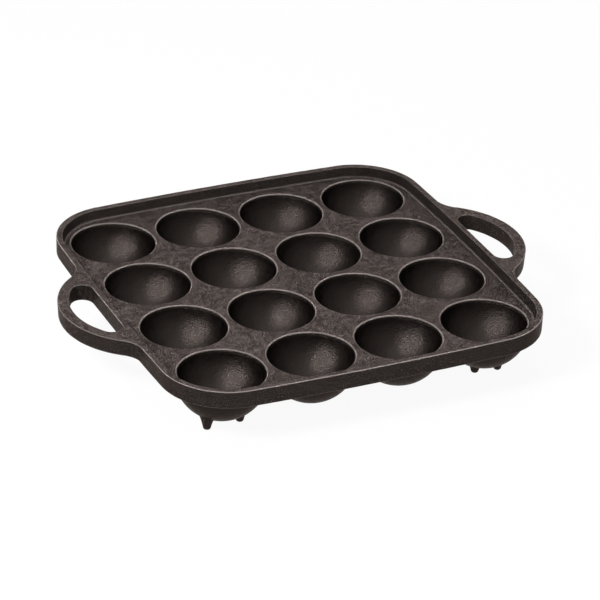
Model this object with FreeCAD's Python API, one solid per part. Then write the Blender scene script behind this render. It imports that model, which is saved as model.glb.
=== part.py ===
import FreeCAD, Part
import math
import os

# Cast iron takoyaki pan: a grid of round cups in a flat deck, a low wall all
# round it, a loop handle at each side and short pegs under the corner cups.
# Millimetres, +Z up, +X towards the right-hand handle, +Y to the back. The
# origin is on the ground, at the middle of the pan.

# Cups
rows = 4
columns = 4
mouth_radius = 20.2
mouth_rounding = 1.0
cup_web = 1.6
cup_depth = 19.3
cup_floor = 3.2
cup_wall = 1.7

# Deck and the wall round it
deck_thickness = 3.7
deck_margin = 7.55
corner_web = 0.8
side_bow = 1.2
wall_height = 5.15
wall_top_width = 3.05
wall_foot_width = 4.05
wall_foot_fillet = 0.9
wall_draft = 0.15
upper_rounding = 0.5
lower_rounding = 0.3

# Handles. A draft is how far a face leans over its whole height.
handle_reach = 21.4
handle_radius = 40.5
handle_blend = 13.0
handle_bar = 5.5
handle_height = 8.4
handle_draft = 0.5
handle_lower_rounding = 1.0
blend_trim = 2.0
handle_seat = 2.3
hole_corner = 5.0
hole_draft = 0.4
hole_bite = 0.35

# Pegs
foot_clearance = 2.6
foot_tip_radius = 1.6
foot_tip_rounding = 1.3
foot_root_radius = 2.95
foot_taper = 6.0
# Where the pegs stand from the axis of a front corner cup, to the right and to the back
left_pegs = {"outer": (-9.0, -5.4), "inner": (7.55, -4.3)}
right_pegs = {"outer": (6.3, -4.3), "inner": (-4.8, -2.95)}

# Worked out from the sizes above
pitch = 2.0 * (mouth_radius + mouth_rounding) + cup_web
deck_top = foot_clearance + cup_floor + cup_depth
deck_bottom = deck_top - deck_thickness
wall_top = deck_top + wall_height
half_x = columns * pitch / 2.0 + deck_margin
half_y = rows * pitch / 2.0 + deck_margin

# The wall's foot ends on the deck at wall_toe inside the outline. The corner arc is as wide as
# lets that line pass the mouth of the corner cup at corner_web.
wall_toe = wall_foot_width + wall_foot_fillet
cup_to_edge = pitch / 2.0 + deck_margin
mouth_reach = mouth_radius + mouth_rounding + corner_web + wall_toe
diagonal = math.sqrt(2.0)
corner_radius = (diagonal * (cup_to_edge - side_bow) - mouth_reach) / (diagonal - 1.0)
corner_x = half_x - corner_radius - side_bow
corner_y = half_y - corner_radius - side_bow

# Each bowed side is one arc that touches the corner arcs at both of its ends
side_radius_x = corner_radius + (side_bow ** 2 + corner_y ** 2) / (2.0 * side_bow)
side_radius_y = corner_radius + (side_bow ** 2 + corner_x ** 2) / (2.0 * side_bow)
side_angle_x = math.asin(corner_y / (side_radius_x - corner_radius))
side_angle_y = math.asin(corner_x / (side_radius_y - corner_radius))

# Cup and bowl are parts of spheres
cup_radius = (mouth_radius ** 2 + cup_depth ** 2) / (2.0 * cup_depth)
cup_center = deck_top - cup_depth + cup_radius
bowl_radius = mouth_radius + cup_wall
bowl_center = foot_clearance + bowl_radius

# The loop of a handle and the hole in it are arcs about one centre
handle_center = half_x + handle_reach - handle_radius
side_center = half_x - side_radius_x
hole_radius = handle_radius - handle_bar
handle_bottom = wall_top - handle_height

# The straight side of the hole runs just inside the wall's outer face, so it bites into it. Its
# corners turn through the same angle at every height, and so the hole's drafted faces run on.
hole_side = half_x - hole_bite
hole_turn = math.acos((hole_side + hole_corner - handle_center) / (hole_radius - hole_corner))

# A blend touches the loop and the bowed side, which gives its centre at the top of the wall. The
# ray from the loop's centre on which it meets the loop is the same at every height.
handle_apart = handle_center - side_center
blend_to_side = side_radius_x + handle_blend
blend_to_loop = handle_radius + handle_blend
blend_along = (blend_to_side ** 2 - blend_to_loop ** 2 + handle_apart ** 2) / (2.0 * handle_apart)
blend_across = math.sqrt(blend_to_side ** 2 - blend_along ** 2)
blend_ray = math.atan2(blend_across, blend_along - handle_apart)

# How far the ends of a level edge may differ in height
level_tolerance = 1e-4

UP = FreeCAD.Vector(0, 0, 1)


def vector(x, y, z=0.0):
    return FreeCAD.Vector(x, y, z)


def polar(center, radius, angle):
    return center + vector(radius * math.cos(angle), radius * math.sin(angle))


def flipped_x(shape):
    return shape.mirror(vector(0, 0), vector(1, 0))


def flipped_y(shape):
    return shape.mirror(vector(0, 0), vector(0, 1))


def arc(center, radius, start, end):
    """Arc edge at the height of its centre, from one angle to another, in radians."""
    middle = (start + end) / 2.0
    points = [polar(center, radius, angle) for angle in (start, middle, end)]
    return Part.Arc(*points).toShape()


def rounded_wire(corners):
    """Closed wire through corners, pairs of a point and the radius that rounds it."""
    count = len(corners)
    bends = []
    for index, (point, radius) in enumerate(corners):
        back = (corners[index - 1][0] - point).normalize()
        ahead = (corners[(index + 1) % count][0] - point).normalize()
        half_angle = back.getAngle(ahead) / 2.0
        trim = radius / math.tan(half_angle)
        lift = radius / math.sin(half_angle) - radius
        inward = (back + ahead).normalize()
        bends.append((point + back * trim, point + inward * lift, point + ahead * trim))
    edges = []
    for index, (start, middle, end) in enumerate(bends):
        if corners[index][1] > 0:
            edges.append(Part.Arc(start, middle, end).toShape())
        edges.append(Part.makeLine(end, bends[(index + 1) % count][0]))
    return Part.Wire(edges)


def deck_outline(inset, z):
    """Outline of the pan at height z, a rounded rectangle with bowed sides, moved inwards."""
    right = vector(side_center, 0, z)
    back = vector(0, half_y - side_radius_y, z)
    corner = vector(corner_x, corner_y, z)
    quarter = math.pi / 2.0
    edges = [
        arc(right, side_radius_x - inset, -side_angle_x, side_angle_x),
        arc(corner, corner_radius - inset, side_angle_x, quarter - side_angle_y),
        arc(back, side_radius_y - inset, quarter - side_angle_y, quarter + side_angle_y),
    ]
    side, bend, back_side = edges
    edges += [flipped_x(side), flipped_x(bend), flipped_y(bend), flipped_y(back_side)]
    edges.append(flipped_x(flipped_y(bend)))
    return Part.Wire(Part.__sortEdges__(edges))


def wall_section(edge_x, y, edge_rounding):
    """Section of the wall and the strip of deck at its foot, its outer top edge at edge_x."""
    corners = [
        (vector(edge_x - wall_draft, y, deck_bottom), lower_rounding),
        (vector(edge_x, y, wall_top), edge_rounding),
        (vector(edge_x - wall_top_width, y, wall_top), upper_rounding),
        (vector(edge_x - wall_foot_width, y, deck_top), wall_foot_fillet),
        (vector(edge_x - wall_toe, y, deck_top), 0.0),
        (vector(edge_x - wall_toe, y, deck_bottom), 0.0),
    ]
    return Part.Face(rounded_wire(corners))


def swept(section, center, start, turn):
    """The section turned to its start and then carried round center, in radians."""
    section.rotate(center, UP, math.degrees(start))
    return section.revolve(center, UP, math.degrees(turn))


def wall_side(edge_rounding):
    """The right-hand side of the wall, its outer top edge rounded by edge_rounding."""
    section = wall_section(half_x, 0, edge_rounding)
    return swept(section, vector(side_center, 0), -side_angle_x, 2.0 * side_angle_x)


def make_rim():
    """The wall all round, made side by side and corner by corner, and the deck's outer strip."""
    corner = vector(corner_x, corner_y)
    back = vector(half_y - side_radius_y, 0)
    corner_turn = math.pi / 2.0 - side_angle_x - side_angle_y
    side_x = wall_side(upper_rounding)
    side_y = swept(wall_section(half_y, 0, upper_rounding), back, -side_angle_y, 2.0 * side_angle_y)
    side_y.rotate(vector(0, 0), UP, 90)
    section = wall_section(corner_x + corner_radius, corner_y, upper_rounding)
    bend = swept(section, corner, side_angle_x, corner_turn)
    right_side = [side_x, bend, flipped_y(bend)]
    left_side = [flipped_x(piece) for piece in right_side]
    strip = deck_slab().cut(cup_block())
    pieces = right_side + left_side + [side_y, flipped_y(side_y)]
    rim = strip.multiFuse(pieces).removeSplitter()
    cutters = [seat_block(), make_hole()]
    return rim.cut(cutters + [flipped_x(cutter) for cutter in cutters])


def deck_slab():
    """The deck up to the toe of the wall, with no holes."""
    face = Part.Face(deck_outline(wall_toe, deck_bottom))
    return face.extrude(UP * deck_thickness)


def cup_block():
    """The rectangle that the squares of all cups fill, as high as the deck."""
    length = columns * pitch
    width = rows * pitch
    corner = vector(-length / 2.0, -width / 2.0, deck_bottom)
    return Part.makeBox(length, width, deck_thickness, corner)


def cup_cutter():
    """The hollow of a cup: a cap of a sphere that opens through a rounded mouth."""
    rounding_reach = cup_radius + mouth_rounding
    drop = cup_center - deck_top + mouth_rounding
    lip_x = math.sqrt(rounding_reach ** 2 - drop ** 2)
    share = cup_radius / rounding_reach
    lip_z = deck_top - mouth_rounding
    bottom = vector(0, 0, cup_center - cup_radius)
    touch = vector(lip_x * share, 0, cup_center - drop * share)
    slope = math.atan2(touch.x, cup_center - touch.z) / 2.0
    along = vector(cup_radius * math.sin(slope), 0, cup_center - cup_radius * math.cos(slope))
    lip = vector(lip_x, 0, deck_top)
    turn = (math.pi / 2.0 + math.atan2(touch.z - lip_z, touch.x - lip_x)) / 2.0
    crest = vector(lip_x + mouth_rounding * math.cos(turn), 0, lip_z + mouth_rounding * math.sin(turn))
    above = wall_top
    edges = [
        Part.Arc(bottom, along, touch).toShape(),
        Part.Arc(touch, crest, lip).toShape(),
        Part.makeLine(lip, vector(lip_x, 0, above)),
        Part.makeLine(vector(lip_x, 0, above), vector(0, 0, above)),
        Part.makeLine(vector(0, 0, above), bottom),
    ]
    face = Part.Face(Part.Wire(edges))
    return face.revolve(vector(0, 0), UP, 360)


def make_bowl_ball():
    return Part.makeSphere(bowl_radius, vector(0, 0, bowl_center))


def make_cup(x, y, slab):
    """A bowl with its own square of the deck, which the toe of the wall trims at the corners."""
    corner = vector(-pitch / 2.0, -pitch / 2.0)
    under_deck = Part.makeBox(pitch, pitch, deck_bottom, corner)
    bowl = make_bowl_ball().common(under_deck)
    place = vector(x, y)
    square = Part.makeBox(pitch, pitch, deck_thickness, corner + vector(0, 0, deck_bottom))
    square.translate(place)
    bowl.translate(place)
    hollow = cup_cutter()
    hollow.translate(place)
    return bowl.fuse(square.common(slab)).cut(hollow).removeSplitter()


def wall_face(z):
    """Radius of the wall's bowed side at height z, where its draft has moved it inwards."""
    return side_radius_x - wall_draft * (wall_top - z) / (wall_top - deck_bottom)


def blend_arc(inset, z):
    """Centre and radius of the blend that touches the loop and the wall at height z."""
    loop = handle_radius - inset
    wall = wall_face(z)
    along_ray = handle_apart * math.cos(blend_ray)
    # the centre lies loop + radius from the loop's centre and wall + radius from the side's centre
    gap = handle_apart ** 2 + 2.0 * loop * along_ray + loop ** 2 - wall ** 2
    radius = gap / (2.0 * (wall - loop - along_ray))
    return polar(vector(handle_center, 0, z), loop + radius, blend_ray), radius


def blend_end(inset, z):
    """Angle about the bowed side's centre at which the blend touches the wall at height z."""
    center = blend_arc(inset, z)[0]
    return math.atan2(center.y, center.x - side_center)


def handle_section(inset, z):
    """Outline of a handle at height z: a loop that two blends join to the bowed side."""
    blend, radius = blend_arc(inset, z)
    seat_angle = blend_end(inset, z)
    upper = arc(blend, radius, seat_angle + math.pi, blend_ray + math.pi)
    loop = arc(vector(handle_center, 0, z), handle_radius - inset, -blend_ray, blend_ray)
    lower = flipped_y(upper)
    side = vector(side_center, 0, z)
    seat_radius = side_radius_x - handle_seat / 2.0
    seat = arc(side, seat_radius, -seat_angle, seat_angle)
    step = Part.makeLine(polar(side, seat_radius, seat_angle), polar(side, wall_face(z), seat_angle))
    return Part.Wire(Part.__sortEdges__([upper, loop, lower, flipped_y(step), seat, step]))


def hole_section(spread, z):
    """Outline of the hole in a handle: straight along the wall, curved with the loop outside."""
    straight_x = hole_side - spread
    outer = hole_radius + spread
    room = handle_center + outer * math.cos(hole_turn) - straight_x
    corner_size = room / (1.0 + math.cos(hole_turn))
    middle = vector(handle_center, 0, z)
    corner = polar(middle, outer - corner_size, hole_turn)
    loop = arc(middle, outer, -hole_turn, hole_turn)
    upper = arc(corner, corner_size, hole_turn, math.pi)
    lower = flipped_y(upper)
    straight = Part.makeLine(vector(straight_x, corner.y, z), vector(straight_x, -corner.y, z))
    return Part.Wire(Part.__sortEdges__([loop, upper, straight, lower]))


def make_hole():
    """The hole in the right-hand handle, wider below, so that the mould's sand comes out."""
    sections = [hole_section(hole_draft, deck_bottom), hole_section(0.0, wall_top)]
    return Part.makeLoft(sections, True, True)


def rounded(shape, radius, chosen):
    """The shape with its level edges outside the wall rounded, those whose middle is chosen."""
    edges = []
    for edge in shape.Edges:
        middle = edge.valueAt((edge.FirstParameter + edge.LastParameter) / 2.0)
        level = edge.BoundBox.ZLength < level_tolerance
        outside = math.hypot(middle.x - side_center, middle.y) > side_radius_x
        if level and outside and chosen(middle):
            edges.append(edge)
    return shape.makeFillet(radius, edges)


def at_top(point):
    return point.z > deck_top


def beside_hole(point):
    return math.hypot(point.x - handle_center, point.y) < handle_radius - handle_bar / 2.0


def under_bar(point):
    return not at_top(point) and not beside_hole(point)


def under_hole(point):
    return not at_top(point) and beside_hole(point)


def block_end(inset, z):
    """Half the length of a handle's room, as the blends thin out and end blend_trim before that."""
    return side_radius_x * math.sin(blend_end(inset, z)) - blend_trim


def seat_block():
    """The room of a handle: outside the pan, and the outer part of the wall between its ends."""
    low = block_end(handle_draft, handle_bottom)
    high = block_end(0.0, wall_top)
    corners = [
        vector(corner_x, -low, handle_bottom),
        vector(corner_x, low, handle_bottom),
        vector(corner_x, high, wall_top),
        vector(corner_x, -high, wall_top),
    ]
    outline = Part.makePolygon(corners + corners[:1])
    block = Part.Face(outline).extrude(vector(half_x + handle_reach - corner_x, 0))
    inner_radius = side_radius_x - handle_seat
    return block.cut(Part.makeCylinder(inner_radius, wall_top, vector(side_center, 0)))


def make_handle():
    """The right-hand loop, its edges rounded, with the part of the wall that it is cast on."""
    hole = make_hole()
    block = seat_block()
    sections = [handle_section(handle_draft, handle_bottom), handle_section(0.0, wall_top)]
    loop = Part.makeLoft(sections, True, True).cut(hole)
    loop = rounded(loop, upper_rounding, at_top)
    loop = rounded(loop, handle_lower_rounding, under_bar)
    loop = rounded(loop, lower_rounding, under_hole)
    strip = wall_side(0.0).common(block).cut(hole)
    return loop.common(block).fuse(strip).removeSplitter()


def make_foot():
    """A tapered peg with a rounded tip, its top cut to the bowl's round underside later."""
    corners = [
        (vector(0, 0), 0.0),
        (vector(foot_tip_radius, 0, 0), foot_tip_rounding),
        (vector(foot_root_radius, 0, foot_taper), 0.0),
        (vector(foot_root_radius, 0, bowl_center), 0.0),
        (vector(0, 0, bowl_center), 0.0),
    ]
    return Part.Face(rounded_wire(corners)).revolve(vector(0, 0), UP, 360)


def make_feet():
    """Two pegs under each corner cup, those at the back a mirror image of those in front."""
    corner_cup = vector(-(columns - 1) * pitch / 2.0, -(rows - 1) * pitch / 2.0)
    feet = {}
    for side, sign, pegs in (("left", 1, left_pegs), ("right", -1, right_pegs)):
        axis = vector(corner_cup.x * sign, corner_cup.y)
        ball = make_bowl_ball()
        ball.translate(axis)
        for name, (x, y) in pegs.items():
            foot = make_foot()
            foot.translate(axis + vector(x, y))
            foot = foot.cut(ball)
            feet["foot_front_" + side + "_" + name] = foot
            feet["foot_back_" + side + "_" + name] = flipped_y(foot)
    return feet


def make_nodes():
    slab = deck_slab()
    nodes = {"rim": make_rim()}
    for row in range(rows):
        for column in range(columns):
            x = (column - (columns - 1) / 2.0) * pitch
            y = (row - (rows - 1) / 2.0) * pitch
            nodes["cup_" + str(row + 1) + "_" + str(column + 1)] = make_cup(x, y, slab)
    handle = make_handle()
    nodes["handle_right"] = handle
    nodes["handle_left"] = flipped_x(handle)
    nodes.update(make_feet())
    return nodes


os.makedirs("parts", exist_ok=True)
for name, shape in make_nodes().items():
    shape.Solids[0].exportStep("parts/" + name + ".step")
    print(name, len(shape.Solids), shape.isValid(), round(shape.Volume, 1))
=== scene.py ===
import bpy
import numpy as np
from mathutils import Matrix, Vector


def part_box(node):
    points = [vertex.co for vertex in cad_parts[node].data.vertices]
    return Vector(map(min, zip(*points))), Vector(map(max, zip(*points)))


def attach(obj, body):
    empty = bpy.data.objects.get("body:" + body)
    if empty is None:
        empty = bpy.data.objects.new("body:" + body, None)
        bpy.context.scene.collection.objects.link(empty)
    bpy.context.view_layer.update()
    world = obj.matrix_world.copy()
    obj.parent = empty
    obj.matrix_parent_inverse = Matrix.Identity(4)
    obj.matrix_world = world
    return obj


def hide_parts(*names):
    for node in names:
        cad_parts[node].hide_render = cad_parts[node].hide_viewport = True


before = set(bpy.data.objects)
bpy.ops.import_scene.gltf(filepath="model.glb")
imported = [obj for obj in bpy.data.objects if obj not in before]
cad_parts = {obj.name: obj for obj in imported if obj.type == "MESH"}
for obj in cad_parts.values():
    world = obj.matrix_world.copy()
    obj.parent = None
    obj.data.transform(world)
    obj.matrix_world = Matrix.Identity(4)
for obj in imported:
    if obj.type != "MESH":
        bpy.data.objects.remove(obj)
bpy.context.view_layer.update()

mm = 0.001
fullTurn = 2.0 * np.pi

# Sizes are in millimetres, and the frame gives these
cupLow, cupHigh = (np.array(corner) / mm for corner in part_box("cup_2_2"))
pitch = cupHigh[0] - cupLow[0]
deckTop = cupHigh[2]
deckBottom, wallTop = (corner[2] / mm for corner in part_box("rim"))
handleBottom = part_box("handle_right")[0][2] / mm


def spread(low, high, count):
    # evenly spaced values as a column, so that they meet a row of angles
    return np.linspace(low, high, count)[:, None]


def onArc(centerX, centerY, radius, angle):
    # points of a circle at the given angles
    return np.stack([centerX + radius * np.cos(angle), centerY + radius * np.sin(angle)], -1)


# Wavelengths of the unevenness that the sand leaves
sandWaves = {
    "hollow": np.array([9.0, 11.0, 13.0, 15.0, 17.0, 20.0, 24.0, 28.0]),
    "skin": np.array([3.2, 4.0, 5.0, 6.0, 7.0, 8.0, 9.0, 11.0, 13.0, 16.0, 20.0, 26.0]),
    "hollowSeed": 7,
    "skinSeed": 3,
}
sharpBend = 50.0  # degrees between two faces from which their edge stays crisp


def castRelief(points, kind):
    # sum of sine waves in random directions, scaled to run from 0 to 1
    waves = sandWaves[kind]
    random = np.random.default_rng(sandWaves[kind + "Seed"])
    directions = random.normal(size=(len(waves), 3))
    directions /= np.linalg.norm(directions, axis=1)[:, None]
    phases = random.uniform(0.0, fullTurn, len(waves))
    height = np.sin(points @ (directions / waves[:, None] * fullTurn).T + phases)
    return 0.5 + 0.5 * np.tanh(height.sum(-1) / np.sqrt(len(waves)))


def stepsToNext(grid, rowsClose):
    # from each row to the next one; the last row of an open surface has none after it
    return np.diff(grid, axis=0, append=grid[:1] if rowsClose else grid[-1:])


def outwardNormals(grid, down):
    # cross product of the steps along rows and columns, made one long; on a closed surface the
    # sum of point times normal is three times its volume, so its sign tells which way is out
    across = np.roll(grid, -1, 1) - np.roll(grid, 1, 1)
    normal = np.cross(across, down)
    normal *= np.sign((normal * grid).sum())
    return normal / np.maximum(np.linalg.norm(normal, axis=-1, keepdims=True), 1e-9)


def sunken(grid, depth, rowsClose):
    # the surface moved inwards by the depth, against the mean of its slopes before and after
    after = stepsToNext(grid, rowsClose)
    return grid - outwardNormals(grid, after + np.roll(after, 1, 0)) * depth[..., None]


def roundedProfile(corners, steps):
    # corners (inset, height, radius, wear and painted highlight) to points: each corner an arc that
    # touches both sides
    points = []
    wearsAndSheens = []
    for index, (inset, height, radius, wearAndSheen) in enumerate(corners):
        here = np.array([inset, height])
        if radius == 0.0:
            points.append(here[None, :])
            wearsAndSheens.append(np.zeros(1))
            continue
        before = np.array(corners[index - 1][:2]) - here
        after = np.array(corners[(index + 1) % len(corners)][:2]) - here
        before /= np.linalg.norm(before)
        after /= np.linalg.norm(after)
        half = np.arccos(before @ after) / 2.0
        middle = (before + after) / np.linalg.norm(before + after)
        center = here + middle * radius / np.sin(half)
        first = here + before * radius / np.tan(half) - center
        last = here + after * radius / np.tan(half) - center
        share = np.linspace(0.0, 1.0, steps)[:, None]
        opening = np.pi - 2.0 * half
        arc = (np.sin((1.0 - share) * opening) * first + np.sin(share * opening) * last) / np.sin(opening)
        points.append(center + arc)
        wearsAndSheens.append(wearAndSheen * np.sin(share[:, 0] * np.pi))
    return np.concatenate(points), np.concatenate(wearsAndSheens)


def densified(profile, wearsAndSheens, step):
    # extra points on the long straight runs, no further apart than step
    lengths = np.linalg.norm(np.diff(profile, axis=0), axis=1)
    counts = np.maximum(np.ceil(lengths / step).astype(int), 1)
    where = np.concatenate([[0.0], np.cumsum(lengths)])
    runs = [np.linspace(low, high, count, endpoint=False)
            for low, high, count in zip(where[:-1], where[1:], counts)]
    # a point close to each end of a long run keeps its flat from being shaded as if it bent
    beside = [np.array([low + step / 10.0, high - step / 10.0])
              for low, high, count in zip(where[:-1], where[1:], counts) if count > 1]
    stops = np.unique(np.concatenate(runs + beside + [where[-1:]]))
    dense = np.stack([np.interp(stops, where, profile[:, axis]) for axis in (0, 1)], -1)
    return dense, np.interp(stops, where, wearsAndSheens)


def makePiece(name, node, grid, layers, material, rowsClose):
    # rows run along the profile and columns round the path; open rows end in two poles
    rows, columns = grid.shape[:2]
    index = np.arange(rows * columns).reshape(rows, columns)
    keep = np.ones(rows * columns, bool)
    if rowsClose:
        index = np.vstack([index, index[:1]])
    else:
        index[0] = index[0, 0]
        index[-1] = index[-1, 0]
        keep[1:columns] = False
        keep[-columns + 1:] = False
    renumber = np.cumsum(keep) - 1
    across = np.roll(index, -1, 1)
    faces = np.stack([index[:-1], across[:-1], across[1:], index[1:]], -1).reshape(-1, 4)
    points = grid.reshape(-1, 3)
    corners = points[faces]
    volume = np.einsum("ij,ij->", corners[:, 0], np.cross(corners[:, 1], corners[:, 2]))
    volume += np.einsum("ij,ij->", corners[:, 0], np.cross(corners[:, 2], corners[:, 3]))
    faces = renumber[faces if volume > 0 else faces[:, ::-1]]
    used = faces != np.roll(faces, 1, 1)  # a pole drops one corner of each face that meets it
    sizes = used.sum(1)
    mesh = bpy.data.meshes.new(name)
    mesh.vertices.add(int(keep.sum()))
    mesh.vertices.foreach_set("co", (points[keep] * mm).ravel())
    mesh.loops.add(int(sizes.sum()))
    mesh.loops.foreach_set("vertex_index", faces[used])
    mesh.polygons.add(len(faces))
    mesh.polygons.foreach_set("loop_start", np.cumsum(sizes) - sizes)
    mesh.polygons.foreach_set("use_smooth", np.ones(len(faces), bool))
    mesh.update(calc_edges=True)
    mesh.validate()
    # how far a point faces up, taken on the side of it that faces up most, so that the deck
    # stays the same up to a sharp edge
    after = stepsToNext(grid, rowsClose)
    facing = [outwardNormals(grid, step)[..., 2] for step in (after, np.roll(after, 1, 0))]
    upward = np.maximum(np.maximum(*facing), 0.0)
    for layerName, values in {**layers, "upward": upward}.items():
        layer = mesh.attributes.new(layerName, "FLOAT", "POINT")
        full = np.broadcast_to(values, (rows, columns)).reshape(-1)[keep]
        layer.data.foreach_set("value", full.astype(np.float32))
    mesh.set_sharp_from_angle(angle=np.radians(sharpBend))
    mesh.materials.append(material)
    piece = bpy.data.objects.new(name, mesh)
    bpy.context.scene.collection.objects.link(piece)
    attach(piece, "root")
    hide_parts(node)


def linear(hexColour):
    # sRGB hex to linear light: the standard curve, channel by channel
    values = np.array([int(hexColour[i:i + 2], 16) for i in (0, 2, 4)]) / 255.0
    curve = np.where(values <= 0.04045, values / 12.92, ((values + 0.055) / 1.055) ** 2.4)
    return (*curve.tolist(), 1.0)


def addNode(tree, kind, settings, links):
    # a node with its properties and socket values set and its sockets linked
    node = tree.nodes.new(kind)
    for key, value in settings.items():
        if isinstance(key, int) or key in node.inputs:
            node.inputs[key].default_value = value
        else:
            setattr(node, key, value)
    for key, source in links.items():
        tree.links.new(source, node.inputs[key])
    return node


# Colours are sRGB hex
iron = {
    "dark": "2e2927",
    "light": "7e7370",  # the sand's crests: lighter grain that also stands in for the lamps' glints on it, partly painted highlight
    "toneRange": (1.95, 2.86),  # of grain, pits and patches added up, from dark to light
    "paintedTopLightFrom": 0.5,  # how far a face has to look up before its light crests start to show: painted light from above on the tops
    "lightBelow": 0.10,  # share of the light crests on faces that look up less, so that the sides are painted darker as if in shade
    "hollowLight": 0.0,  # and in the hollows: none, painted shade that keeps them dark
    # bare iron on worn edges, and painted highlight lines along the rounded edges
    "wornAndSheen": "c8bcb6",
    "wornAndSheenShare": 0.55,
    "edge": "c8c1be",  # at a glancing view the film mirrors less than bare iron, and warmer
    "roughness": (0.30, 0.42),  # between these from pit to crest
    "pitRange": (0.35, 0.65),
    "grainSize": 0.7,  # green sand gives 0.3 mm grain, drawn coarser so that it shows
    "grainShare": 3.0,
    "grainDepth": 0.5,
    "pitSize": 2.4,
    "patchSize": 16.0,  # where the film is thinner, the deck is lighter
    "patchShare": 0.3,
    "swellSize": 9.0,
    "swellDepth": 0.30,
    "hollowBump": 0.25,  # share of the grain's bump that is left in the hollows
    "ringSpacing": 1.1,  # tool marks of the turned pattern
    "ringDepth": 0.004,
}


def seasonedIron(name, turned):
    # Grey iron cast in sand, with a thin burnt-on film of oil: it mirrors as a metal does, but
    # so faintly and warmly that it looks near black; sand's crests mirror more, and worn edges mirror
    # more; painted light and shade: crests only on faces that look up and none in the hollows, and
    # highlight lines on rounded edges.
    material = bpy.data.materials.new(name)
    material.use_nodes = True
    tree = material.node_tree
    tree.nodes.clear()
    place = addNode(tree, "ShaderNodeTexCoord", {}, {}).outputs["Object"]
    wearAndSheen = addNode(tree, "ShaderNodeAttribute", {"attribute_name": "wearAndSheen"}, {}).outputs["Fac"]

    grain = addNode(tree, "ShaderNodeTexNoise",
                    {"Scale": 1.0 / (iron["grainSize"] * mm), "Detail": 3.0, "Roughness": 0.65},
                    {"Vector": place}).outputs["Fac"]
    pits = addNode(tree, "ShaderNodeTexNoise",
                   {"Scale": 1.0 / (iron["pitSize"] * mm), "Detail": 2.0, "Roughness": 0.5},
                   {"Vector": place}).outputs["Fac"]
    swell = addNode(tree, "ShaderNodeTexNoise",
                    {"Scale": 1.0 / (iron["swellSize"] * mm), "Detail": 1.0},
                    {"Vector": place}).outputs["Fac"]
    mixed = addNode(tree, "ShaderNodeMath",
                    {"operation": "MULTIPLY_ADD", 1: iron["grainShare"]},
                    {0: grain, 2: pits}).outputs[0]
    patches = addNode(tree, "ShaderNodeTexNoise",
                      {"Scale": 1.0 / (iron["patchSize"] * mm), "Detail": 2.0, "Roughness": 0.6},
                      {"Vector": place}).outputs["Fac"]
    grey = addNode(tree, "ShaderNodeMath",
                   {"operation": "MULTIPLY_ADD", 1: iron["patchShare"]},
                   {0: patches, 2: mixed}).outputs[0]
    darkest, lightest = iron["toneRange"]
    tone = addNode(tree, "ShaderNodeMapRange",
                   {"From Min": darkest, "From Max": lightest}, {"Value": grey}).outputs[0]
    upward = addNode(tree, "ShaderNodeAttribute", {"attribute_name": "upward"}, {}).outputs["Fac"]
    # painted top light: the light crests show fully only on faces that look up, where the lamps above
    # fall
    paintedLightShare = addNode(tree, "ShaderNodeMapRange",
                      {"From Min": iron["paintedTopLightFrom"], "To Min": iron["lightBelow"]},
                      {"Value": upward})
    bump = addNode(tree, "ShaderNodeBump", {"Strength": 1.0, "Distance": iron["swellDepth"] * mm},
                   {"Height": swell})
    bump = addNode(tree, "ShaderNodeBump", {"Strength": 1.0, "Distance": iron["grainDepth"] * mm},
                   {"Height": mixed, "Normal": bump.outputs[0]})
    deep, crest = iron["pitRange"]
    smoothest, roughest = iron["roughness"]
    gloss = addNode(tree, "ShaderNodeMapRange",
                    {"From Min": deep, "From Max": crest, "To Min": smoothest, "To Max": roughest},
                    {"Value": pits})
    if turned:
        # the hollow is smoother than the deck, and faint rings run round its axis
        hollow = addNode(tree, "ShaderNodeAttribute", {"attribute_name": "hollow"}, {}).outputs["Fac"]
        travel = addNode(tree, "ShaderNodeAttribute", {"attribute_name": "travel"}, {}).outputs["Fac"]
        # painted shade in the hollows: no light crests there, so they stay at the dark colour
        paintedLightShare = addNode(tree, "ShaderNodeMapRange",
                          {"To Max": iron["hollowLight"]},
                          {"Value": hollow, "To Min": paintedLightShare.outputs[0]})
        smooth = addNode(tree, "ShaderNodeMapRange",
                         {"To Min": 1.0, "To Max": iron["hollowBump"]}, {"Value": hollow})
        tree.links.new(smooth.outputs[0], bump.inputs["Strength"])
        phase = addNode(tree, "ShaderNodeMath",
                        {"operation": "MULTIPLY", 1: fullTurn / iron["ringSpacing"]}, {0: travel})
        wave = addNode(tree, "ShaderNodeMath", {"operation": "SINE"}, {0: phase.outputs[0]})
        ring = addNode(tree, "ShaderNodeMath", {"operation": "MULTIPLY"},
                       {0: wave.outputs[0], 1: hollow})
        bump = addNode(tree, "ShaderNodeBump", {"Strength": 1.0, "Distance": iron["ringDepth"] * mm},
                       {"Height": ring.outputs[0], "Normal": bump.outputs[0]})
    crests = addNode(tree, "ShaderNodeMath", {"operation": "MULTIPLY"},
                     {0: tone, 1: paintedLightShare.outputs[0]})
    skin = addNode(tree, "ShaderNodeMix", {"data_type": "RGBA"}, {0: crests.outputs[0]})
    skin.inputs[6].default_value = linear(iron["dark"])
    skin.inputs[7].default_value = linear(iron["light"])
    # wear and painted highlight: the edges' lines mix towards the worn colour
    edges = addNode(tree, "ShaderNodeMath",
                    {"operation": "MULTIPLY", 1: iron["wornAndSheenShare"]}, {0: wearAndSheen})
    colour = addNode(tree, "ShaderNodeMix", {"data_type": "RGBA"},
                     {0: edges.outputs[0], 6: skin.outputs[2]})
    colour.inputs[7].default_value = linear(iron["wornAndSheen"])
    shader = addNode(tree, "ShaderNodeBsdfPrincipled",
                     {"Metallic": 1.0, "Specular Tint": linear(iron["edge"])},
                     {"Base Color": colour.outputs[2], "Roughness": gloss.outputs[0],
                      "Normal": bump.outputs[0]})
    addNode(tree, "ShaderNodeOutputMaterial", {}, {"Surface": shader.outputs[0]})
    return material


castSkin = seasonedIron("seasonedSandCastIron", False)
castHollow = seasonedIron("seasonedSandCastIronTurned", True)
print("materials made")


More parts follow.
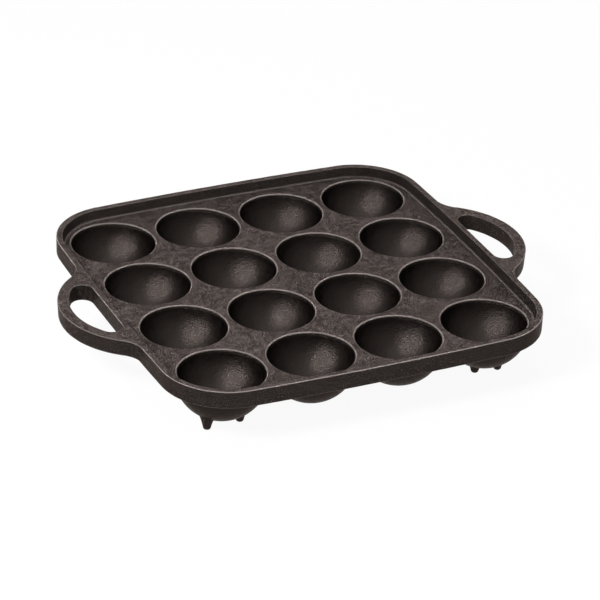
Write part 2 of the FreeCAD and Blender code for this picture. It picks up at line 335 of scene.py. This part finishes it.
cupCount = 4  # along each side
cup = {
    "mouthRadius": 20.2,
    "mouthRounding": 1.0,
    "depth": 19.3,
    "floor": 3.2,
    "wallAtMouth": 1.7,
    "underFillet": 1.2,
    "lipWearAndSheen": 3,  # power of the wear and painted highlight over the lip: the higher, the narrower its light line
    "reliefDepth": 0.03,
    "columns": 144,  # of the mesh, and its rows along each stretch of the profile
    "hollowRows": 44,
    "lipRows": 12,
    "deckRows": 8,
    "edgeRows": 3,
    "underRows": 4,
    "filletRows": 9,
    "bowlRows": 40,
    "blendRows": 3.0,  # over these the deck's skin turns into the hollow's
    "fadeRows": (8.0, 5.0),  # over these the relief fades, in the hollow and over the bowl
}
wall = {
    "deckMargin": 7.55,  # from the squares of the cups to the outside, at the middle of a side
    "sideBow": 1.2,
    "cornerWeb": 0.8,  # deck left between the corner cup and the foot of the wall
    "topWidth": 3.05,
    "footWidth": 4.05,
    "footFillet": 0.9,
    "draft": 0.15,
    "upperRounding": 0.5,
    "lowerRounding": 0.3,
    # wear and painted highlight on the wall's rounded edges; the line on the foot's fillet is painted
    # highlight only, as a hollow corner isn't worn
    "wearAndSheen": {"outerLower": 0.9, "outerUpper": 1.0, "innerUpper": 0.25, "foot": 0.4},
    "reliefDepth": 0.07,
    "sideStations": 156,
    "cornerStations": (18, 26, 18),  # before, along and after the stretch that rounds a cup's square
    "edgeSteps": 9,  # points along each rounded edge
    "meshStep": 0.7,
}

# The outline: four bowed sides, each one arc, and four corner arcs that touch them
cupBlock = cupCount * pitch / 2.0
cornerCup = (cupCount - 1) / 2.0 * pitch
halfSide = cupBlock + wall["deckMargin"]
wallToe = wall["footWidth"] + wall["footFillet"]
bow = wall["sideBow"]
mouthReach = cup["mouthRadius"] + cup["mouthRounding"] + wall["cornerWeb"] + wallToe
cornerReach = np.sqrt(2.0) * (pitch / 2.0 + wall["deckMargin"] - bow)
cornerRadius = (cornerReach - mouthReach) / (np.sqrt(2.0) - 1.0)
cornerCenter = halfSide - cornerRadius - bow
sideRadius = cornerRadius + (bow ** 2 + cornerCenter ** 2) / (2.0 * bow)
sideAngle = np.arcsin(cornerCenter / (sideRadius - cornerRadius))
sideCenter = halfSide - sideRadius

# Cup and bowl are parts of spheres
cupRadius = (cup["mouthRadius"] ** 2 + cup["depth"] ** 2) / (2.0 * cup["depth"])
cupCenter = deckTop - cup["depth"] + cupRadius
bowlRadius = cup["mouthRadius"] + cup["wallAtMouth"]
bowlCenter = deckTop - cup["depth"] - cup["floor"] + bowlRadius


def reachOfTile(angle, centerX, centerY):
    # distance from the cup's axis to the edge of its square along each angle, or to the toe of
    # the wall where that line rounds the square's corner off
    square = (pitch / 2.0) / np.maximum(np.abs(np.cos(angle)), np.abs(np.sin(angle)))
    fromX = abs(centerX) - cornerCenter
    fromY = abs(centerY) - cornerCenter
    alongX = np.cos(angle) * np.sign(centerX)
    alongY = np.sin(angle) * np.sign(centerY)
    toe = cornerRadius - wallToe
    half = fromX * alongX + fromY * alongY
    inside = half ** 2 - fromX ** 2 - fromY ** 2 + toe ** 2
    toArc = -half + np.sqrt(np.maximum(inside, 0.0))
    meetsArc = (fromX + alongX * toArc > 0) & (fromY + alongY * toArc > 0) & (inside > 0)
    return np.where(meetsArc, np.minimum(square, toArc), square)


def tileAngles(centerX, centerY):
    # even angles; at a corner cup the two at which the toe's arc leaves the square replace the
    # ones nearest to them
    angle = np.linspace(0.0, fullTurn, cup["columns"], endpoint=False)
    if abs(centerX) + abs(centerY) < 2.0 * cornerCup - pitch / 2.0:
        return angle
    toe = cornerRadius - wallToe
    along = np.sqrt(toe ** 2 - (cupBlock - cornerCenter) ** 2) + cornerCenter
    for x, y in ((cupBlock, along), (along, cupBlock)):
        special = np.arctan2((y - abs(centerY)) * np.sign(centerY), (x - abs(centerX)) * np.sign(centerX))
        nearest = np.argmin(np.abs(np.angle(np.exp(1j * (angle - special)))))
        angle[nearest] = special % fullTurn
    return angle


def cupSurface(centerX, centerY):
    # a profile turned about the cup's axis: hollow sphere, rounded lip, deck out to the square's
    # edge, down that edge, back under the deck, round the fillet and over the bowl to its pole
    angle = tileAngles(centerX, centerY)[None, :]
    reach = reachOfTile(angle, centerX, centerY)
    rounding = cup["mouthRounding"]
    drop = cupCenter - deckTop + rounding
    lipX = np.sqrt((cupRadius + rounding) ** 2 - drop ** 2)
    touch = np.arccos(drop / (cupRadius + rounding))
    polar = spread(0.0, touch, cup["hollowRows"])
    lip = spread(touch + np.pi / 2.0, np.pi / 2.0, cup["lipRows"])[1:]
    across = spread(0.0, 1.0, cup["deckRows"])[1:]
    down = spread(0.0, 1.0, cup["edgeRows"])[1:]
    back = spread(0.0, 1.0, cup["underRows"])[1:]
    fillet = cup["underFillet"]
    rise = deckBottom - fillet - bowlCenter
    filletX = np.sqrt((bowlRadius + fillet) ** 2 - rise ** 2)
    underX = np.minimum(reach, filletX)
    underAngle = np.arccos(np.clip((underX - filletX) / fillet, -1.0, 0.0))
    underZ = deckBottom - fillet + fillet * np.sin(underAngle)
    touchUnder = np.pi + np.arctan2(rise, filletX)
    bend = underAngle + (touchUnder - underAngle) * spread(0.0, 1.0, cup["filletRows"])[1:]
    below = spread(touchUnder - np.pi, -np.pi / 2.0, cup["bowlRows"])[1:]

    ones = np.ones_like(angle)
    radius = np.vstack([
        cupRadius * np.sin(polar) * ones,
        (lipX + rounding * np.cos(lip)) * ones,
        lipX + (reach - lipX) * across,
        reach * np.ones_like(down),
        reach + (underX - reach) * back,
        filletX + fillet * np.cos(bend),
        bowlRadius * np.cos(below) * ones,
    ])
    height = np.vstack([
        (cupCenter - cupRadius * np.cos(polar)) * ones,
        (deckTop - rounding + rounding * np.sin(lip)) * ones,
        deckTop * ones * np.ones_like(across),
        deckTop + (underZ - deckTop) * down,
        underZ * np.ones_like(back),
        deckBottom - fillet + fillet * np.sin(bend),
        (bowlCenter + bowlRadius * np.sin(below)) * ones,
    ])
    grid = np.stack([centerX + radius * np.cos(angle), centerY + radius * np.sin(angle), height], -1)

    rows = np.arange(len(grid))[:, None]
    lipStart = len(polar)
    bowlStart = len(grid) - len(below)
    overLip = np.clip((rows - lipStart + 1.0) / len(lip), 0.0, 1.0)
    layers = {
        "travel": cupRadius * np.interp(rows, np.arange(lipStart), polar[:, 0]),
        "hollow": np.clip((lipStart - rows) / cup["blendRows"], 0.0, 1.0),
        "wearAndSheen": np.sin(overLip * np.pi) ** cup["lipWearAndSheen"],
    }
    hollowFade, bowlFade = cup["fadeRows"]
    fadeIn = np.clip((lipStart - cup["blendRows"] - rows) / hollowFade, 0.0, 1.0)
    fadeIn = fadeIn + np.clip((rows - bowlStart) / bowlFade, 0.0, 1.0)
    sunk = castRelief(grid, "hollow") * fadeIn * cup["reliefDepth"]
    return sunken(grid, sunk, False), layers


for row in range(cupCount):
    for column in range(cupCount):
        centerX = (column - (cupCount - 1) / 2.0) * pitch
        centerY = (row - (cupCount - 1) / 2.0) * pitch
        label = str(row + 1) + "_" + str(column + 1)
        surface, layers = cupSurface(centerX, centerY)
        makePiece("cupSurface_" + label, "cup_" + label, surface, layers, castHollow, False)
print("cups made")

# The handles' holes bite into the wall, so these stand before it
handle = {
    "reach": 21.4,
    "radius": 40.5,
    "blend": 13.0,
    "bar": 5.5,
    "draft": 0.5,
    "upperRounding": 0.5,
    "lowerRounding": 1.0,
    "holeCorner": 5.0,
    "holeDraft": 0.4,
    "holeBite": 0.35,  # how far the hole reaches into the wall
    "seatInset": 0.6,  # from the outer face of the wall to where the handle ends inside it
    "seatDrop": 0.03,  # how much lower its top is there, so that it and the wall's don't fight
    "dropRun": 0.1,
    "settleRun": 4.0,  # from a corner of the hole to where the inner line has reached its seat
    # wear and painted highlight on the handle's rounded edges
    "wearAndSheen": {"outerLower": 0.4, "outerUpper": 0.6, "innerUpper": 0.35, "innerLower": 0.4},
    "seatStations": 26,
    "cornerStations": 14,
    "loopStations": 56,
    "edgeSteps": 9,
    "meshStep": 0.7,
    "topRows": 14,
    "underRows": 7,
}

# The loop of a handle and the hole in it are arcs about one centre. At the top of the wall a
# blend touches the loop and the bowed side; it meets the loop on one ray at every height.
handleCenter = halfSide + handle["reach"] - handle["radius"]
holeRadius = handle["radius"] - handle["bar"]
holeSide = halfSide - handle["holeBite"]
holeAlong = holeSide + handle["holeCorner"] - handleCenter
holeTurn = np.arccos(holeAlong / (holeRadius - handle["holeCorner"]))
blendToSide = sideRadius + handle["blend"]
blendToLoop = handle["radius"] + handle["blend"]
centersApart = handleCenter - sideCenter
blendAlong = (blendToSide ** 2 - blendToLoop ** 2 + centersApart ** 2) / (2.0 * centersApart)
blendRay = np.arctan2(np.sqrt(blendToSide ** 2 - blendAlong ** 2), blendAlong - centersApart)


def draftShare(height):
    # 0 at the top of the wall and 1 at the deck's underside
    return (wallTop - height) / (wallTop - deckBottom)


def holeCorner(growth):
    # the hole grown by its draft: where its straight side is, and its corner arc's centre and
    # radius, which keep that arc's angles
    straightX = holeSide - growth
    outer = holeRadius + growth
    size = (handleCenter + outer * np.cos(holeTurn) - straightX) / (1.0 + np.cos(holeTurn))
    centerX = handleCenter + (outer - size) * np.cos(holeTurn)
    return straightX, centerX, (outer - size) * np.sin(holeTurn), size


def holeFace(x, y, height, inset):
    # the x where the hole cuts the wall, further in by inset, or x itself where it doesn't
    straightX, centerX, centerY, size = holeCorner(draftShare(height) * handle["holeDraft"])
    past = np.maximum(np.abs(y) - centerY, 0.0)
    corner = centerX - np.sqrt(np.maximum((size + inset) ** 2 - past ** 2, 0.0))
    return np.where(past < size, np.minimum(x, np.where(past > 0, corner, straightX - inset)), x)


def panOutline():
    # four bowed sides and four corners, each an arc that touches the next, with the directions
    # outwards; each corner has stations where the squares of the cups meet the toe of the wall
    special = np.arccos((cupBlock - cornerCenter) / (cornerRadius - wallToe))
    stops = [sideAngle, special, np.pi / 2.0 - special, np.pi / 2.0 - sideAngle]
    bends = [np.linspace(low, high, count, endpoint=False)
             for low, high, count in zip(stops[:-1], stops[1:], wall["cornerStations"])]
    side = np.linspace(-sideAngle, sideAngle, wall["sideStations"], endpoint=False)
    corner = np.concatenate(bends)
    angle = np.concatenate([side, corner])
    points = np.concatenate([onArc(sideCenter, 0.0, sideRadius, side),
                             onArc(cornerCenter, cornerCenter, cornerRadius, corner)])
    outward = onArc(0.0, 0.0, 1.0, angle)
    turns = [np.array([[np.cos(turn), np.sin(turn)], [-np.sin(turn), np.cos(turn)]])
             for turn in np.arange(4) * np.pi / 2.0]
    return [np.concatenate([quarter @ turn for turn in turns]) for quarter in (points, outward)]


def rimSurface():
    # the wall's profile carried round the outline, and a strip of deck that reaches the cups
    outline, outward = panOutline()
    wornAndSheen = wall["wearAndSheen"]
    profile, wearsAndSheens = roundedProfile([
        (wall["draft"], deckBottom, wall["lowerRounding"], wornAndSheen["outerLower"]),
        (0.0, wallTop, wall["upperRounding"], wornAndSheen["outerUpper"]),
        (wall["topWidth"], wallTop, wall["upperRounding"], wornAndSheen["innerUpper"]),
        (wall["footWidth"], deckTop, wall["footFillet"], wornAndSheen["foot"]),
        (wallToe, deckTop, 0.0, 0.0),
    ], wall["edgeSteps"])
    profile, wearsAndSheens = densified(profile, wearsAndSheens, wall["meshStep"])
    toBlock = (np.abs(outline) - cupBlock) / np.maximum(np.abs(outward), 1e-9)
    reach = np.maximum(wallToe, toBlock.max(1))
    ones = np.ones(len(outline))
    inset = np.stack([depth * ones for depth in profile[:, 0]] + [reach, reach])
    height = np.concatenate([profile[:, 1], [deckTop, deckBottom]])[:, None] * ones
    flat = outline[None] - outward[None] * inset[..., None]
    # the hole of each handle cuts the outer half of the wall, and its rounded edge moves in too
    outerRows = int(np.argmax(profile[:, 0] > wall["topWidth"] / 2.0))
    outer = flat[:outerRows]
    edgeInset = inset[:outerRows] - wall["draft"] * draftShare(height[:outerRows])
    cutX = holeFace(np.abs(outer[..., 0]), outer[..., 1], height[:outerRows], edgeInset)
    atSides = np.abs(outward[:, 0]) > 0.5  # left and right, where the handles are
    outer[..., 0] = np.where(atSides, cutX * np.sign(outer[..., 0]), outer[..., 0])
    grid = np.concatenate([flat, height[..., None]], -1)
    layers = {"wearAndSheen": np.concatenate([wearsAndSheens, np.zeros(2)])[:, None]}
    fadeIn = np.clip(wallToe - inset, 0.0, 1.0)  # over the last millimetre before the toe
    sunk = castRelief(grid, "skin") * fadeIn * wall["reliefDepth"]
    return sunken(grid, sunk, True), layers


surface, layers = rimSurface()
makePiece("wallSurface", "rim", surface, layers, castSkin, True)
print("wall made")


def mirrored(half):
    # a half line at positive y, and then its mirror image the other way round
    return np.concatenate([half, half[-2::-1] * np.array([1.0, -1.0])])


def blendArc(height):
    # the loop's radius where its draft has moved it in, and the centre and radius of the blend
    # that touches it and the drafted wall: a circle whose distances to both centres are known
    wallFace = sideRadius - wall["draft"] * draftShare(height)
    loopFace = handle["radius"] - handle["draft"] * (wallTop - height) / (wallTop - handleBottom)
    alongRay = centersApart * np.cos(blendRay)
    gap = centersApart ** 2 + 2.0 * loopFace * alongRay + loopFace ** 2 - wallFace ** 2
    radius = gap / (2.0 * (wallFace - loopFace - alongRay))
    center = onArc(handleCenter, 0.0, loopFace + radius, blendRay)
    return loopFace, center[0], center[1], radius


def outerLine(height, inset):
    # along the outside of a handle, from the wall over the blend and round the loop, and inwards
    # by what the section's edges are rounded
    loopFace, blendX, blendY, radius = blendArc(height)
    toSide = np.arctan2(-blendY, sideCenter - blendX)
    count = handle["seatStations"] + handle["cornerStations"]
    turn = np.linspace(toSide, blendRay - np.pi, count, endpoint=False)
    bend = np.linspace(blendRay, holeTurn, handle["cornerStations"], endpoint=False)
    loop = np.concatenate([bend, np.linspace(holeTurn, 0.0, handle["loopStations"])])
    return mirrored(np.concatenate([onArc(blendX, blendY, radius + inset, turn),
                                    onArc(handleCenter, 0.0, loopFace - inset, loop)]))


def innerLine(height, growth, offset):
    # the same way along the inside: under the top of the wall, round the hole's corner and along
    # the hole, which is grown by its draft and then moved outwards by offset
    straightX, centerX, centerY, size = holeCorner(growth)
    loopFace, blendX, blendY, radius = blendArc(height)
    seatEnd = sideRadius * blendY / (sideRadius + radius)
    y = np.linspace(seatEnd, centerY, handle["seatStations"], endpoint=False)
    seatX = sideCenter + np.sqrt(sideRadius ** 2 - y ** 2) - handle["seatInset"] - offset - growth
    settle = np.clip((y - centerY) / handle["settleRun"], 0.0, 1.0)
    x = straightX - offset + (seatX - straightX + offset) * settle
    bend = np.linspace(np.pi, holeTurn, 2 * handle["cornerStations"], endpoint=False)
    loop = np.linspace(holeTurn, 0.0, handle["loopStations"])
    return mirrored(np.concatenate([
        np.stack([x, y], -1),
        onArc(centerX, centerY, size + offset, bend),
        onArc(handleCenter, 0.0, holeRadius + growth + offset, loop),
    ]))


def handleSurface(side):
    # a closed section carried along the bar: outer face, top, face of the hole and underside,
    # the top and the underside straight between the lines that the two faces end on
    bottomGrowth = handle["holeDraft"] * draftShare(handleBottom)
    upper = handle["upperRounding"]
    lower = handle["lowerRounding"]
    wornAndSheen = handle["wearAndSheen"]
    outer, outerWearAndSheen = roundedProfile([
        (handle["draft"] + 2.0 * lower, handleBottom, 0.0, 0.0),
        (handle["draft"], handleBottom, lower, wornAndSheen["outerLower"]),
        (0.0, wallTop, upper, wornAndSheen["outerUpper"]),
        (2.0 * upper, wallTop, 0.0, 0.0),
    ], handle["edgeSteps"])
    inner, innerWearAndSheen = roundedProfile([
        (2.0 * upper, wallTop, 0.0, 0.0),
        (0.0, wallTop, upper, wornAndSheen["innerUpper"]),
        (bottomGrowth, handleBottom, wall["lowerRounding"], wornAndSheen["innerLower"]),
        (bottomGrowth + 2.0 * lower, handleBottom, 0.0, 0.0),
    ], handle["edgeSteps"])
    # the first and last points of each were only there to round the corners beside them
    outer, outerWearAndSheen = densified(outer[1:-1], outerWearAndSheen[1:-1], handle["meshStep"])
    inner, innerWearAndSheen = densified(inner[1:-1], innerWearAndSheen[1:-1], handle["meshStep"])
    growths = draftShare(inner[:, 1]) * handle["holeDraft"]
    drafts = handle["draft"] * (wallTop - outer[:, 1]) / (wallTop - handleBottom)
    outerFace = [outerLine(z, inset) for z, inset in zip(outer[:, 1], outer[:, 0] - drafts)]
    innerFace = [innerLine(z, growth, inset)
                 for z, growth, inset in zip(inner[:, 1], growths, inner[:, 0] - growths)]
    topShares = np.linspace(0.0, 1.0, handle["topRows"])[1:-1]
    underShares = np.linspace(0.0, 1.0, handle["underRows"])[1:-1]
    top = [outerFace[-1] + (innerFace[0] - outerFace[-1]) * share for share in topShares]
    under = [innerFace[-1] + (outerFace[0] - innerFace[-1]) * share for share in underShares]
    flat = np.stack(outerFace + top + innerFace + under, 1)
    height = np.concatenate([outer[:, 1], np.full(len(top), wallTop), inner[:, 1],
                             np.full(len(under), handleBottom)])
    grid = np.concatenate([flat, np.broadcast_to(height[:, None], (*flat.shape[:2], 1))], -1)
    inWall = sideRadius - np.hypot(grid[..., 0] - sideCenter, grid[..., 1]) - wall["upperRounding"]
    grid[..., 2] -= np.clip(inWall / handle["dropRun"], 0.0, 1.0) * handle["seatDrop"]
    grid *= np.array([side, 1.0, 1.0])
    ends = [grid[index].mean(0) * np.ones_like(grid[:1]) for index in (0, -1)]
    grid = np.concatenate([ends[0], grid, ends[1]])
    wearAndSheen = np.concatenate([outerWearAndSheen, np.zeros(len(top)), innerWearAndSheen, np.zeros(len(under))])[None, :]
    sunk = castRelief(grid, "skin") * wall["reliefDepth"]
    sunk[[0, -1]] = 0.0
    # at the ends, inside the wall, the lines cross, so the top is kept from coming up there
    shown = sunken(grid, sunk, False)
    isTop = grid[..., 2] > (wallTop + handleBottom) / 2.0
    shown[..., 2] = np.where(isTop, np.minimum(shown[..., 2], grid[..., 2]), shown[..., 2])
    return shown, {"wearAndSheen": wearAndSheen}


for name, side in (("right", 1.0), ("left", -1.0)):
    surface, layers = handleSurface(side)
    makePiece("handleSurface_" + name, "handle_" + name, surface, layers, castSkin, False)
print("handles made")

peg = {
    "tipRadius": 1.6,
    "tipRounding": 1.3,
    "rootRadius": 2.95,
    "taper": 6.0,
    "flare": 0.5,  # how far the root spreads over the bowl
    "flareLength": 0.8,
    "flareFrom": 2.5,  # height over which the flare comes in, so that the tip keeps its shape
    "rootDepth": 1.0,  # how far it goes on inside the bowl's wall
    "tipWear": 0.7,
    "columns": 48,
    "edgeSteps": 9,
    "meshStep": 0.3,
    "capRows": 4,
}


def tipPlace(node):
    # the middle of the points of the peg's solid that lie on the ground, where its tip stands
    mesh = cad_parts[node].data
    points = np.empty(len(mesh.vertices) * 3)
    mesh.vertices.foreach_get("co", points)
    points = points.reshape(-1, 3) / mm
    nearGround = 0.01
    tip = points[points[:, 2] < points[:, 2].min() + nearGround]
    return (tip.min(0) + tip.max(0)) / 2.0


def bowlHeight(x, y, cupX, cupY):
    # how high the lower half of a bowl's sphere is over a point of the ground
    return bowlCenter - np.sqrt(bowlRadius ** 2 - (x - cupX) ** 2 - (y - cupY) ** 2)


def pegSurface(node, cupX, cupY):
    # a tapered profile with a rounded tip, turned about the peg's axis, whose side goes on into
    # the bowl's wall and ends in a cap; near the bowl it spreads by an amount that falls off
    # with the distance to it
    middle = tipPlace(node)
    rounding = peg["tipRounding"]
    root = peg["rootRadius"]
    profile, wearsAndSheens = roundedProfile([
        (0.0, 0.0, 0.0, 0.0),
        (peg["tipRadius"], 0.0, rounding, peg["tipWear"]),
        (root, peg["taper"], 0.0, 0.0),
    ], peg["edgeSteps"])
    profile, wearsAndSheens = densified(profile, wearsAndSheens, peg["meshStep"])
    angle = np.linspace(0.0, fullTurn, peg["columns"], endpoint=False)[None, :]
    edge = bowlHeight(middle[0] + root * np.cos(angle), middle[1] + root * np.sin(angle), cupX, cupY)
    edge = edge + peg["rootDepth"]
    center = bowlHeight(middle[0], middle[1], cupX, cupY) + peg["rootDepth"]
    share = np.clip((profile[:, 1:] - rounding) / (peg["taper"] - rounding), 0.0, 1.0)
    height = np.minimum(profile[:, 1:], rounding) + share * (edge - rounding)
    radius = np.where(share > 0.0, np.interp(height, profile[:, 1], profile[:, 0]), profile[:, :1])
    cap = spread(0.0, 1.0, peg["capRows"])[1:]
    height = np.concatenate([height, edge + (center - edge) * cap])
    radius = np.concatenate([radius, radius[-1:] * (1.0 - cap)])
    x = middle[0] + radius * np.cos(angle)
    y = middle[1] + radius * np.sin(angle)
    gap = np.sqrt((x - cupX) ** 2 + (y - cupY) ** 2 + (height - bowlCenter) ** 2) - bowlRadius
    near = np.exp(-np.maximum(gap, 0.0) / peg["flareLength"]) * peg["flare"]
    near = near * np.clip(radius / root, 0.0, 1.0) * np.clip(height / peg["flareFrom"], 0.0, 1.0)
    x = x + near * np.cos(angle)
    y = y + near * np.sin(angle)
    return np.stack([x, y, height], -1), {"wearAndSheen": np.concatenate([wearsAndSheens, np.zeros(len(cap))])[:, None]}


for depthName, signY in (("front", -1.0), ("back", 1.0)):
    for sideName, signX in (("left", -1.0), ("right", 1.0)):
        for place in ("outer", "inner"):
            label = depthName + "_" + sideName + "_" + place
            surface, layers = pegSurface("foot_" + label, signX * cornerCup, signY * cornerCup)
            makePiece("peg_" + label, "foot_" + label, surface, layers, castSkin, False)
print("pegs made")

# These are in metres and watts
studio = {
    "floorSize": 6.0,
    "keyPlace": (-0.64, -0.24, 0.61),
    "keySize": 0.24,
    "keyPower": 9.2,
    "topPlace": (0.0, 0.0, 0.93),
    "topSize": 0.5,
    "topPower": 1.4,
    "backPlace": (0.29, 0.50, 0.71),
    "backSize": 0.5,
    "backPower": 1.2,
    "roomLight": 0.35,
    "floorColour": "f0f0f0",
    "floorLift": 0.94,  # share of plain white in what the camera and reflections see of the floor
}


def whiteRays(tree):
    # 1 for rays of the camera, of a reflection or through glass, and 0 for those that light
    path = addNode(tree, "ShaderNodeLightPath", {}, {}).outputs
    seen = addNode(tree, "ShaderNodeMath", {"operation": "MAXIMUM"},
                   {0: path["Is Camera Ray"], 1: path["Is Glossy Ray"]})
    seen = addNode(tree, "ShaderNodeMath", {"operation": "MAXIMUM"},
                   {0: seen.outputs[0], 1: path["Is Transmission Ray"]})
    return seen.outputs[0]


def makeStudio():
    # a white room, a paper floor and three round lamps that face the middle of the deck
    plainWhite = (1.0, 1.0, 1.0, 1.0)
    world = bpy.data.worlds.new("room")
    bpy.context.scene.world = world
    world.use_nodes = True
    tree = world.node_tree
    tree.nodes.clear()
    dim = addNode(tree, "ShaderNodeBackground",
                  {"Color": plainWhite, "Strength": studio["roomLight"]}, {})
    white = addNode(tree, "ShaderNodeBackground", {"Color": plainWhite, "Strength": 1.0}, {})
    both = addNode(tree, "ShaderNodeMixShader", {},
                   {0: whiteRays(tree), 1: dim.outputs[0], 2: white.outputs[0]})
    addNode(tree, "ShaderNodeOutputWorld", {}, {"Surface": both.outputs[0]})

    # background paper: matt and near white, so it has no gloss and keeps a soft shadow
    paper = bpy.data.materials.new("paperFloor")
    paper.use_nodes = True
    tree = paper.node_tree
    tree.nodes.clear()
    matt = addNode(tree, "ShaderNodeBsdfDiffuse", {"Color": linear(studio["floorColour"])}, {})
    glow = addNode(tree, "ShaderNodeEmission", {"Color": plainWhite, "Strength": 1.0}, {})
    share = addNode(tree, "ShaderNodeMath",
                    {"operation": "MULTIPLY", 1: studio["floorLift"]}, {0: whiteRays(tree)})
    both = addNode(tree, "ShaderNodeMixShader", {},
                   {0: share.outputs[0], 1: matt.outputs[0], 2: glow.outputs[0]})
    addNode(tree, "ShaderNodeOutputMaterial", {}, {"Surface": both.outputs[0]})
    half = studio["floorSize"] / 2.0
    mesh = bpy.data.meshes.new("floor")
    corners = [(-half, -half, 0.0), (half, -half, 0.0), (half, half, 0.0), (-half, half, 0.0)]
    mesh.from_pydata(corners, [], [(0, 1, 2, 3)])
    mesh.materials.append(paper)
    floor = bpy.data.objects.new("floor", mesh)
    bpy.context.scene.collection.objects.link(floor)

    for name in ("key", "top", "back"):
        lamp = bpy.data.lights.new(name + "Light", "AREA")
        lamp.shape = "DISK"
        lamp.size = studio[name + "Size"]
        lamp.energy = studio[name + "Power"]
        light = bpy.data.objects.new(name + "Light", lamp)
        light.location = studio[name + "Place"]
        aim = Vector((0.0, 0.0, deckTop * mm)) - light.location
        light.rotation_euler = aim.to_track_quat("-Z", "Y").to_euler()
        bpy.context.scene.collection.objects.link(light)


# Degrees and millimetres
view = {
    "azimuth": -25.374,
    "elevation": 28.774,
    "roll": 2.18,
    "distance": 1591.3,
    "lookAtX": -5.79,
    "lookAtY": -17.97,
    "lens": 204.84,
    "sensor": 36.0,
}


def makeCamera():
    # a long lens, turned about the upright and tipped down, looking at a point on the deck
    azimuth, elevation, roll = np.radians([view["azimuth"], view["elevation"], view["roll"]])
    flat = np.cos(elevation)
    back = Vector((np.sin(azimuth) * flat, -np.cos(azimuth) * flat, np.sin(elevation)))
    right = Vector((np.cos(azimuth), np.sin(azimuth), 0.0))
    up = back.cross(right)
    rolledRight = right * np.cos(roll) + up * np.sin(roll)
    rolledUp = up * np.cos(roll) - right * np.sin(roll)
    data = bpy.data.cameras.new("camera")
    data.lens = view["lens"]
    data.sensor_width = view["sensor"]
    data.clip_end = 50.0
    camera = bpy.data.objects.new("camera", data)
    target = Vector((view["lookAtX"], view["lookAtY"], deckTop))
    camera.matrix_world = Matrix.Translation((target + back * view["distance"]) * mm) @ Matrix(
        (rolledRight, rolledUp, back)).transposed().to_4x4()
    bpy.context.scene.collection.objects.link(camera)
    bpy.context.scene.camera = camera


makeStudio()
makeCamera()
bpy.context.scene.view_settings.view_transform = "Standard"
print("studio made")
